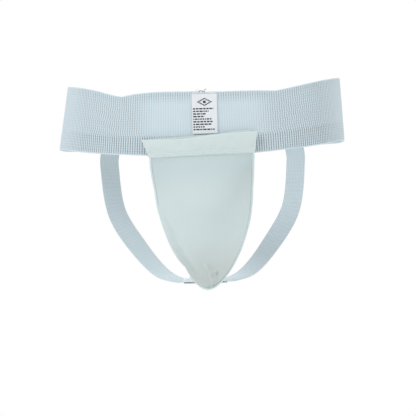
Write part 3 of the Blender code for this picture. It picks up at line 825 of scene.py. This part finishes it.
# %% Creases in the knit
# Each line has its start, its end, its width and its height; x and s are in metres.
crease_lines = (((-0.044, 0.094), (-0.020, 0.160), 0.0050, -0.0040),
                ((-0.034, 0.104), (-0.010, 0.160), 0.0060, 0.0014),
                ((-0.004, 0.144), (0.0052, 0.1710), 0.0024, 0.0040),
                ((0.0048, 0.160), (0.0036, 0.1868), 0.0018, 0.0040),
                ((0.0095, 0.154), (0.0080, 0.1850), 0.0026, -0.0036),
                ((0.046, 0.080), (0.034, 0.135), 0.0060, -0.0008),
                ((-0.040, 0.045), (-0.010, 0.030), 0.0050, 0.0004))


def ridge(x, s, start, end, width, height):
    """A soft ridge (or, with a negative height, a crease) along a line on the sheet."""
    line = Vector((end[0] - start[0], end[1] - start[1]))
    to_spot = Vector((x - start[0], s - start[1]))
    share = min(max(to_spot.dot(line) / line.length_squared, 0.0), 1.0)
    away = (to_spot - line * share).length
    fade = smooth_step(share / 0.3) * smooth_step((1 - share) / 0.25)
    return height * fade * exp(-(away / width) ** 2)


def creases(x, s):
    """The small puckers under the hem, and every crease line."""
    total = 0.00010 * sin(x * 640 + 2.0 * sin(x * 90)) * exp(-max(s - hem_height, 0) / 0.007)
    for start, end, width, height in crease_lines:
        total += ridge(x, s, start, end, width, height)
    return total


# %% The front layer
cup_widest = 0.081
cup_upper = 0.046
cup_lower = 0.080
cup_half_width = 0.042
cup_upper_fullness = 2.6
cup_lower_fullness = 1.7
cup_lip_height = 0.0096
lip_reach = 1.6
lip_fade = 0.42
lip_softness = 0.0012


def over_cup(x, s, height):
    """The cloth can't pass through the hard cup: it is lifted softly over the cup's lip."""
    x, s = hung_askew(x, s)
    down = s - cup_widest
    reach = cup_lower if down > 0 else cup_upper
    fullness = cup_lower_fullness if down > 0 else cup_upper_fullness
    outside = abs(x / cup_half_width) ** fullness + abs(down / reach) ** fullness
    near = smooth_step((lip_reach - outside) / lip_fade)
    lip = cup_lip_height * near
    return (height + lip + ((height - lip) ** 2 + (lip_softness * near) ** 2) ** 0.5) / 2


front_top = hem_height - 0.003
front_columns = 110
front_rows = 130


def front_place(u, v):
    """Rows run from just inside the hem to the tip; edges lie in the binding."""
    share = (1 - v) / 2
    turn_top = edge_turn(front_top, seam_allowance)
    turn = turn_top + (tip_turn - turn_top) * share
    edge = pouch_edge(turn, seam_allowance)
    s = edge.y
    x = u * edge.x
    inside = smooth_step((edge.x - abs(x) - 0.0015) / 0.005)
    return sheet_point(x, s, over_cup(x, s, panel_height(x, s) + creases(x, s) * inside))


front = lay_cloth("pocket_front", front_columns, front_rows, front_place, cloth,
                  (2 * pouch_half_width, pouch_length), pouch_knit)
dress(front, "garment", "pouch_knit", "pouch_front_panel")
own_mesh(front)
print("front layer", count(front), "triangles")


# %% [markdown]
# ## The lining
# The second layer lies against the wearer. It is flat and plain, and its top edge just shows
# above the mouth, as on the real one, so it is laid on the sheet with nothing added but a
# slight ripple along that edge.

# %% The lining
def lining_place(u, v):
    turn = tip_turn * (1 - v) / 2
    edge = pouch_edge(turn, seam_allowance)
    x = u * edge.x
    lift = (0.0004 + 0.0020 * smooth_step((x - 0.022) / 0.02)) * smooth_step(1 - edge.y / 0.01)
    ripple = 0.0002 * sin(u * 21) * smooth_step(1 - edge.y / 0.02)
    return sheet_point(x, edge.y - lift, -layer + max(ripple, 0))


lining = lay_cloth("pocket_lining", 60, 80, lining_place, cloth,
                   (2 * pouch_half_width, pouch_length), lining_knit)
dress(lining, "garment", "lining_knit", "pouch_lining")
print("lining", count(lining), "triangles")

# %% [markdown]
# ## The hem round the mouth
# The mouth's edge is folded over and sewn down with two rows. Folded cloth is never flat: it
# puffs between the fold and the stitches, and draws in at each row. The fold is laid as one
# strip that goes up the front, over the top and down inside.

# %% The hem
stitch_lines = (hem_height - 0.0015, hem_height - 0.0045)
hem_back_height = 0.012
hem_leaf = cloth + gap
corner_tack_size = (0.011, 18, 0.0026)


def hem_half_width(s):
    return pouch_half_width + hem_flare * (1 - s / hem_height)


def hem_surface(x, s):
    return panel_height(min(abs(x), pouch_half_width - seam_allowance), s)


def hem_puff(x, s):
    """The front leaf swells between its fold and its stitches."""
    drawn = sum(exp(-((s - line) / 0.0011) ** 2) for line in stitch_lines)
    swell = 0.0009 * sin(pi * min(s / stitch_lines[1], 1.0)) ** 0.7 if s > 0 else 0.0
    soft = 0.0005 * sin(x * 118 + 1.2) * sin(s * 190 + 0.8) + 0.0002 * sin(x * 410 + s * 300)
    return max(swell + soft * sin(pi * min(s / hem_height, 1.0)), 0.0) * (1 - 0.8 * min(drawn, 1))


def mouth_sag(x, s):
    """The mouth hangs lowest a little to one side of its middle."""
    return 0.0024 * exp(-((x + 0.022) / 0.030) ** 2) * (1 - smooth_step(s / hem_height))


def hem_place(u, v):
    front_length = hem_height - hem_leaf
    back_length = hem_back_height - hem_leaf
    bend_length = pi * hem_leaf
    run = (1 + v) / 2 * (front_length + bend_length + back_length)
    if run < front_length:
        s, face, extra = hem_height - run, 1.0, True
    elif run < front_length + bend_length:
        turn = (run - front_length) / hem_leaf
        s, face, extra = hem_leaf * (1 - sin(turn)), cos(turn), False
    else:
        s, face, extra = hem_leaf + run - front_length - bend_length, -1.0, False
    x = u * hem_half_width(s)
    n = hem_surface(x, s) + face * hem_leaf
    if extra:
        n += hem_puff(x, s) - 0.0003 * smooth_step((s - 0.019) / 0.003)
    return sheet_point(x, s + mouth_sag(x, s), n)


hem = lay_cloth("mouth_hem", 150, 60, hem_place, 0.0005, (0.13, 0.036), hem_knit)
dress(hem, "garment", "hem_cloth", "pouch_top_hem")
print("hem", count(hem), "triangles")


# %% The hem's stitches
def hem_row(s):
    half = hem_half_width(s) - 0.0015
    spots = 60
    points = []
    for i in range(spots + 1):
        x = half * (2 * i / spots - 1)
        proud = hem_leaf + hem_puff(x, s) + 0.00030
        points.append(sheet_point(x, s + mouth_sag(x, s), hem_surface(x, s) + proud))
    return points


for label, s in zip(("lower", "upper"), stitch_lines):
    row = stitch_row("hem_row_" + label, hem_row(s), pitch=0.0032, radius=0.00038)
    dress(row, "garment", "white_thread", "hem_stitch_" + label)
for side, sign in (("left", 1), ("right", -1)):
    def tack_spot(along, across):
        s = hem_height * 0.4 + along
        x = sign * (hem_half_width(s) - 0.004) + across
        return sheet_point(x, s, hem_surface(x, s) + hem_leaf + 0.0009)

    tack = thread("corner_tack_" + side, zigzag(tack_spot, *corner_tack_size))
    dress(tack, "garment", "white_thread", "hem_corner_tack_" + side)
seam_half = pouch_half_width - seam_allowance - 0.003
seam_points = [sheet_point(seam_half * (i / 20 - 1), 0.008, -layer + cloth / 2 + 0.0003)
               for i in range(41)]
seam = stitch_row("lining_seam_row", seam_points)
dress(seam, "garment", "white_thread", "lining_seam_stitching")
print("hem rows, tacks and the lining's seam are sewn")

# %% [markdown]
# ## The bindings
# A tape folded over both layers closes each side of the pocket. It is bright, a little
# puckered by its stitches, and rounded where it folds. The tape is laid as a strip whose
# section is a U round the two cloth edges.

# %% The bindings
tape_thickness = 0.0005
tape_end_turn = pi / 2 - 0.006
fold_section = ((0.0026, 0.00128), (0.0021, 0.00138), (0.0015, 0.00150), (0.0009, 0.00140),
                (0.0004, 0.00100), (0.0, 0.0), (0.0004, -0.00100), (0.0012, -0.00145),
                (0.0030, -0.00150), (binding_width, -0.00150))
binding_rows = 200


def binding_lift(s):
    """The front leaf climbs over the hem's stand-off near the mouth."""
    return hem_lift * (1 - smooth_step((s - hem_height) / (binding_start - hem_height)))


for side, sign in (("left", 1), ("right", -1)):
    first_turn = edge_turn(hem_height + 0.0006)

    def binding_place(u, v):
        inward, face = fold_section[round((u + 1) / 2 * (len(fold_section) - 1))]
        share = (1 - v) / 2
        turn = first_turn + (tape_end_turn - first_turn) * share
        edge = pouch_edge(turn, max(inward, tape_thickness / 2))
        pucker = 1 + 0.05 * sin(share * 300 + sign) * (face > 0)
        lift = binding_lift(edge.y) if face > 0 else 0.0
        return sheet_point(sign * edge.x, edge.y, face * pucker + lift)

    tape = lay_cloth("side_binding_" + side, len(fold_section) - 1, binding_rows,
                     binding_place, tape_thickness, (0.0095, 0.19), binding_tape, rim=0.0001)
    dress(tape, "garment", "binding_tape", "pouch_binding_" + side)
    points = []
    for i in range(121):
        turn = first_turn + 0.01 + (tip_turn - first_turn - 0.05) * i / 120
        edge = pouch_edge(turn, binding_front - 0.0009)
        proud = 0.00176 + binding_lift(edge.y)
        points.append(sheet_point(sign * edge.x, edge.y, proud))
    row = stitch_row("side_row_" + side, points, pitch=0.0028, radius=0.00011)
    dress(row, "garment", "white_thread", "binding_stitch_" + side)
    print("binding", side, count(tape), "triangles")

# %% [markdown]
# ## The care label
# A satin ribbon is cut to length and caught in the top edge, so it hangs free below. It curls
# a little at its loose end. Its print here is only rows of dashes under a plain lozenge, laid
# as thin ink, so that it says nothing and copies nothing.

# %% The label
label_low, label_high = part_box("label")
label_middle = (label_low.x + label_high.x) / 2 - 0.0008
label_y = (label_low.y + label_high.y) / 2
label_width = (label_high.x - label_low.x) * 0.94
label_length = label_high.z - label_low.z
label_thickness = 0.0003


def label_bow(x, down):
    """The leaf stands off a little more towards its loose end."""
    across = (x - label_middle) / (label_width / 2)
    return 0.0001 + 0.0007 * down ** 2 + 0.0004 * down * across ** 2 * sin(down * 5)


def label_place(u, v):
    down = (1 - v) / 2
    x = label_middle + u * label_width / 2
    return Vector((x, label_y - label_bow(x, down), label_high.z - down * label_length))


label = lay_cloth("care_label", 30, 44, label_place, label_thickness,
                  (label_width, label_length), satin_finish, rim=0.00008)
dress(label, "label_leaf", "label_satin", "label")
print("label", count(label), "triangles")


# %% The label's print
def ink_bar(x0, x1, z0, z1):
    """One printed dash as a thin plate on the label's front."""
    deselect_all()
    bpy.ops.mesh.primitive_cube_add(size=1)
    bar = bpy.context.object
    bpy.ops.object.mode_set(mode="EDIT")
    bpy.ops.mesh.subdivide(number_cuts=1)
    bpy.ops.object.mode_set(mode="OBJECT")
    for vertex in bar.data.vertices:
        x = x0 + (vertex.co.x + 0.5) * (x1 - x0)
        z = z0 + (vertex.co.z + 0.5) * (z1 - z0)
        down = (label_high.z - z) / label_length
        front = label_y - label_bow(x, down) - label_thickness / 2
        vertex.co = (x, front - 0.00002 + vertex.co.y * 0.00006, z)
    return bar


random.seed(11)
line_height = 0.00165
first_line = label_high.z - 0.0165
line_pitch = 0.0030
left_margin = label_middle - label_width / 2 + 0.0012
bars = []
for line in range(9):
    z = first_line - line * line_pitch
    line_length = (0.0235, 0.018, 0.0145, 0.013, 0.021, 0.023, 0.0215, 0.013, 0.0245)[line]
    x = left_margin
    while x < left_margin + line_length:
        dash = random.uniform(0.0013, 0.0042)
        bars.append(ink_bar(x, min(x + dash, left_margin + line_length), z - line_height, z))
        x += dash + 0.0008
lozenge_z = label_high.z - 0.0095
for i in range(9):
    half = 0.0012 + 0.0075 * (1 - abs(i - 4) / 4)
    z = lozenge_z + (i - 4) * 0.0010
    for low_x, high_x in ((-half, -max(half - 0.0024, 0)), (max(half - 0.0024, 0), half)):
        bars.append(ink_bar(label_middle + low_x, label_middle + high_x, z - 0.0005,
                            z + 0.0005))
bars.append(ink_bar(label_middle - 0.0016, label_middle + 0.0016, lozenge_z - 0.0014,
                    lozenge_z + 0.0014))
deselect_all()
for bar in bars:
    bar.select_set(True)
bpy.context.view_layer.objects.active = bars[0]
bpy.ops.object.join()
ink = bpy.context.object
ink.name = "label_print"
ink.data.materials.append(print_ink)
dress(ink, "label_leaf", "label_satin")
print("print of", len(bars), "dashes")

# %% The label's stitch bar and loose thread ends
bar_low, bar_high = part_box("label_stitch_bar")
bar_z = (bar_low.z + bar_high.z) / 2
bar = thread("label_tack", zigzag(
    lambda along, across: Vector((label_middle + along, label_y - 0.0001, bar_z + across)),
    label_width * 0.97, 74, 0.0019), radius=0.00036)
dress(bar, "garment", "white_thread", "label_stitch_bar")
loose_ends = (((-0.0065, 0.0), (-0.0048, 0.0022), (-0.0022, 0.0014), (-0.0010, 0.0006)),
              ((0.0005, -0.0004), (-0.0002, 0.0019), (0.0016, 0.0034), (0.0028, 0.0030)),
              ((-0.0088, 0.0004), (-0.0096, 0.0018), (-0.0082, 0.0030), (-0.0068, 0.0026)))
for i, route in enumerate(loose_ends):
    points = [Vector((label_middle + x, label_y - 0.0008 - 0.0001 * k, bar_high.z - 0.0004 + z))
              for k, (x, z) in enumerate(route)]
    finish = dark_thread if i < 2 else thread_finish
    end = thread(f"loose_thread_{i}", points, radius=0.00030, finish=finish)
    dress(end, "garment", "white_thread")
print("label tack", count(bar), "triangles and", len(loose_ends), "loose ends")

# %% [markdown]
# ## The hard cup
# The cup is injection moulded: a dome with a flat flange, a rounded lip and vent holes. A
# sphere's upper half is pulled to the dome's shape, then it gets its wall, its holes are cut
# and its edges are rounded, the way the tool maker would finish the mould.

# %% The cup
cup_wall = 0.0022
cup_dome = 0.033
cup_flange_share = 0.86
gasket_width = 0.006
gasket_thickness = 0.003
gasket_clearance = 0.0012
vent_radius = 0.0035
vent_spacing = 0.016
cup_rim_height = gasket_clearance + gasket_thickness + gap + cup_wall / 2


def cup_outline(angle):
    power = 2 / (cup_upper_fullness if sin(angle) >= 0 else cup_lower_fullness)
    reach = cup_upper if sin(angle) >= 0 else cup_lower
    return Vector((cup_half_width * copysign(abs(cos(angle)) ** power, cos(angle)),
                   -reach * copysign(abs(sin(angle)) ** power, sin(angle))))


def cup_surface(share, angle):
    rim = cup_outline(angle) * share
    inside = min(share / cup_flange_share, 1.0)
    lip = 0.0006 * smooth_step((share - 0.93) / 0.07)
    height = cup_rim_height + cup_dome * (1 - inside ** 2) ** 0.75 + lip
    return cup_point(rim.x, cup_widest + rim.y, height)


rings = 64
flange_rings = 6
deselect_all()
bpy.ops.mesh.primitive_uv_sphere_add(segments=128, ring_count=rings)
cup = bpy.context.object
cup.name = "moulded_cup"
bpy.ops.object.mode_set(mode="EDIT")
bpy.ops.mesh.select_all(action="SELECT")
bpy.ops.mesh.bisect(plane_co=(0, 0, -0.001), plane_no=(0, 0, 1), clear_inner=True)
bpy.ops.object.mode_set(mode="OBJECT")
dome_rings = rings / 2 - flange_rings
for vertex in cup.data.vertices:
    ring = min(acos(min(max(vertex.co.z, 0.0), 1.0)) / (pi / rings), rings / 2)
    if ring <= dome_rings:
        share = cup_flange_share * sin(pi / 2 * ring / dome_rings)
    else:
        share = cup_flange_share + (1 - cup_flange_share) * (ring - dome_rings) / flange_rings
    if vertex.co.z < -0.0005:
        share = 1.004
    vertex.co = cup_surface(share, atan2(vertex.co.y, vertex.co.x))
thicken(cup, cup_wall)
print("cup shell before its vents", count(cup), "triangles")

# %% The cup's vents
for column, line in ((0, -1.6), (0, -0.5), (0, 0.6), (-1, -1.0), (1, -1.0), (-1, 0.1), (1, 0.1)):
    deselect_all()
    bpy.ops.mesh.primitive_cylinder_add(vertices=28, radius=vent_radius, depth=0.06)
    cutter = bpy.context.object
    s = cup_widest + line * vent_spacing
    cutter.location = cup_point(column * vent_spacing, s, cup_rim_height + cup_dome * 0.8)
    cutter.rotation_euler = (pi / 2 + lean, 0, 0)
    bpy.context.view_layer.update()
    hole = cup.modifiers.new("vent", "BOOLEAN")
    hole.operation = "DIFFERENCE"
    hole.object = cutter
    hole.solver = "EXACT"
    apply_modifiers(cup)
    bpy.data.objects.remove(cutter, do_unlink=True)
round_edges(cup, 0.0005, 3, 55)
surface(cup, cup_plastic, 50)
dress(cup, "cup", "cup_plastic", "cup_shell")
print("cup", count(cup), "triangles")

# %% The cup's soft rim
deselect_all()
bpy.ops.mesh.primitive_torus_add(major_segments=140, minor_segments=16, major_radius=1.0,
                                 minor_radius=0.25)
gasket = bpy.context.object
gasket.name = "soft_rim"
for vertex in gasket.data.vertices:
    angle = atan2(vertex.co.y, vertex.co.x)
    across = (Vector((vertex.co.x, vertex.co.y)).length - 1.0) / 0.25
    up = vertex.co.z / 0.25
    round_square = (abs(across) ** 3.4 + abs(up) ** 3.4) ** (1 / 3.4)
    across, up = across / round_square, up / round_square
    rim = cup_outline(angle)
    out = rim.normalized()
    spot = rim - out * (gasket_width / 2 - 0.001) + out * (across * gasket_width / 2)
    height = gasket_clearance + gasket_thickness / 2 * (1 + up)
    vertex.co = cup_point(spot.x, cup_widest + spot.y, height)
surface(gasket, soft_rubber)
dress(gasket, "cup", "soft_rim", "cup_gasket")
print("soft rim", count(gasket), "triangles")

# %% [markdown]
# ## The crotch tab and the leg straps
# The straps are narrow elastic with ribs along them. They start under a short tab sewn behind
# the pocket's tip, pass round behind the thighs and run up inside the waistband. Each is laid
# as a strip on a smooth path, with its width turned to lie flat on the leg.

# %% The tab
tab_width = 0.036
tab_tail_width = 0.052
tab_thickness = 0.0016
tab_top = 0.146
tab_flat_length = 0.024
tab_bend_radius = 0.010
tab_end_lean = radians(95)
tab_tail_length = 0.026
tab_weave_pitch = 0.0028
tab_bend_length = tab_bend_radius * (tab_end_lean - lean)
tab_length = tab_flat_length + tab_bend_length + tab_tail_length


def tab_line(run, out):
    """The tab's path from behind the pocket to under the crotch."""
    behind = binding_leaf + cloth / 2 + gap + tab_thickness / 2 + 0.0002
    spot = cup_point(0, tab_top, -behind)
    spot += Vector((0, sin(lean), -cos(lean))) * min(run, tab_flat_length)
    bend = min(max(run - tab_flat_length, 0.0), tab_bend_length)
    turn = lean + bend / tab_bend_radius
    spot += Vector((0, cos(lean) - cos(turn), sin(lean) - sin(turn))) * tab_bend_radius
    tail = max(run - tab_flat_length - tab_bend_length, 0.0)
    spot += Vector((0, sin(turn), -cos(turn))) * tail
    return spot + Vector((0, -cos(turn), -sin(turn))) * out


def behind_hips(x, spot):
    back = hip_drop(x)
    return Vector((x, spot.y + back * cos(lean), spot.z + back * sin(lean)))


def tab_place(u, v):
    run = (1 - v) / 2 * tab_length
    tail_share = smooth_step((run - tab_flat_length) / (tab_bend_radius * tab_end_lean))
    x = u * (tab_width + (tab_tail_width - tab_width) * tail_share) / 2
    weave = 0.00008 * sin(x * 2 * pi / tab_weave_pitch)
    return behind_hips(x, tab_line(run, weave))


tab = lay_cloth("crotch_tape", 96, 70, tab_place, tab_thickness - 0.0002,
                (tab_width, tab_length), tab_webbing)
dress(tab, "garment", "tab_webbing", "crotch_tab")
tab_row = thread("tab_zigzag", zigzag(
    lambda along, across: behind_hips(
        along, tab_line(tab_flat_length * 0.4 + across, -(tab_thickness / 2 + 0.0002))),
    tab_width * 0.86, 26, 0.006))
dress(tab_row, "garment", "white_thread", "crotch_tab_stitching")
print("tab", count(tab), "triangles")

# %% The straps' route
strap_width = 0.025
strap_thickness = 0.0018
strap_start = 0.0132
strap_hip_angle = radians(50)
strap_overlap = 0.018
strap_band_clearance = 0.0012
rear_tack_reach = 0.14
rear_tack_size = (0.021, 26, 0.009)
front_tack_size = (0.017, 20, 0.008)


def smooth_route(points, per_span):
    route = []
    ends = [points[0] * 2 - points[1], *points, points[-1] * 2 - points[-2]]
    for i in range(1, len(ends) - 2):
        a, b, c, d = ends[i - 1:i + 3]
        for k in range(per_span):
            t = k / per_span
            route.append(0.5 * (2 * b + (c - a) * t + (2 * a - 5 * b + 4 * c - d) * t ** 2
                                + (3 * b - a - 3 * c + d) * t ** 3))
    route.append(points[-1])
    return route


under = tab_thickness / 2 + gap + strap_thickness / 2 + 0.0006
start = tab_line(tab_length - tab_tail_length + 0.004, under)
tail = tab_line(tab_length, under)
inside = -(band_thickness / 2 + gap + strap_thickness / 2 + strap_band_clearance)
low = -band_height / 2
below = band_spot(strap_hip_angle, low - 0.022, inside)
route = smooth_route([
    Vector((strap_start, start.y, start.z)),
    Vector((strap_start + 0.001, tail.y - 0.003, tail.z)),
    Vector((0.026, tail.y + 0.022, tail.z - 0.001)),
    Vector((0.052, tail.y + 0.060, tail.z + 0.008)),
    Vector((0.080, tail.y + 0.092, tail.z + 0.038)),
    Vector((below.x - 0.008, below.y - 0.010, (below.z * 1.5 + tail.z) / 2.5)),
    below, band_spot(strap_hip_angle, low, inside),
    band_spot(strap_hip_angle, low + strap_overlap, inside)], 20)
print("strap length", round(length_of(route), 3), "m")

# %% The straps
_, hip_normal = outline(np.array([strap_hip_angle]), hip_half_width, 0.0)
outward_end = Vector((float(hip_normal[0][0]), float(hip_normal[1][0]), 0))
spans = len(route) - 1
strap_frames = []
for i in range(len(route)):
    along = (route[min(i + 1, spans)] - route[max(i - 1, 0)]).normalized()
    outward = Vector((0, 0, -1)).lerp(outward_end, smooth_step((i / spans - 0.12) / 0.5))
    across = along.cross(outward).normalized()
    strap_frames.append((across, across.cross(along)))

for side, sign in (("left", 1), ("right", -1)):
    def strap_place(u, v):
        i = round((v + 1) / 2 * spans)
        across, out = strap_frames[i]
        rib = 0.00011 * cos(u * pi * 12) if abs(u) < 0.96 else 0.0
        spot = route[i] + across * (u * strap_width / 2) + out * rib
        return Vector((sign * spot.x, spot.y, spot.z))

    strap = lay_cloth("elastic_strap_" + side, 48, spans, strap_place,
                      strap_thickness - 0.0003, (strap_width, length_of(route)),
                      strap_elastic)
    dress(strap, "garment", "strap_elastic", "leg_strap_" + side)

    def rear_spot(along, across):
        height = low + strap_overlap * 0.5 + across
        spot = band_spot(strap_hip_angle + along / rear_tack_reach, height, thread_lift)
        return Vector((sign * spot.x, spot.y, spot.z))

    rear = thread("rear_tack_" + side, zigzag(rear_spot, *rear_tack_size))
    dress(rear, "garment", "white_thread", "strap_rear_tack_" + side)

    def front_spot(along, across):
        spot = tab_line(tab_length - tab_tail_length * 0.5 + across,
                        -(tab_thickness / 2 + 0.0002))
        placed = behind_hips(strap_start + along, spot)
        return Vector((sign * placed.x, placed.y, placed.z))

    front_tack = thread("front_tack_" + side, zigzag(front_spot, *front_tack_size))
    dress(front_tack, "garment", "white_thread", "strap_front_tack_" + side)
    print("strap", side, count(strap), "triangles")
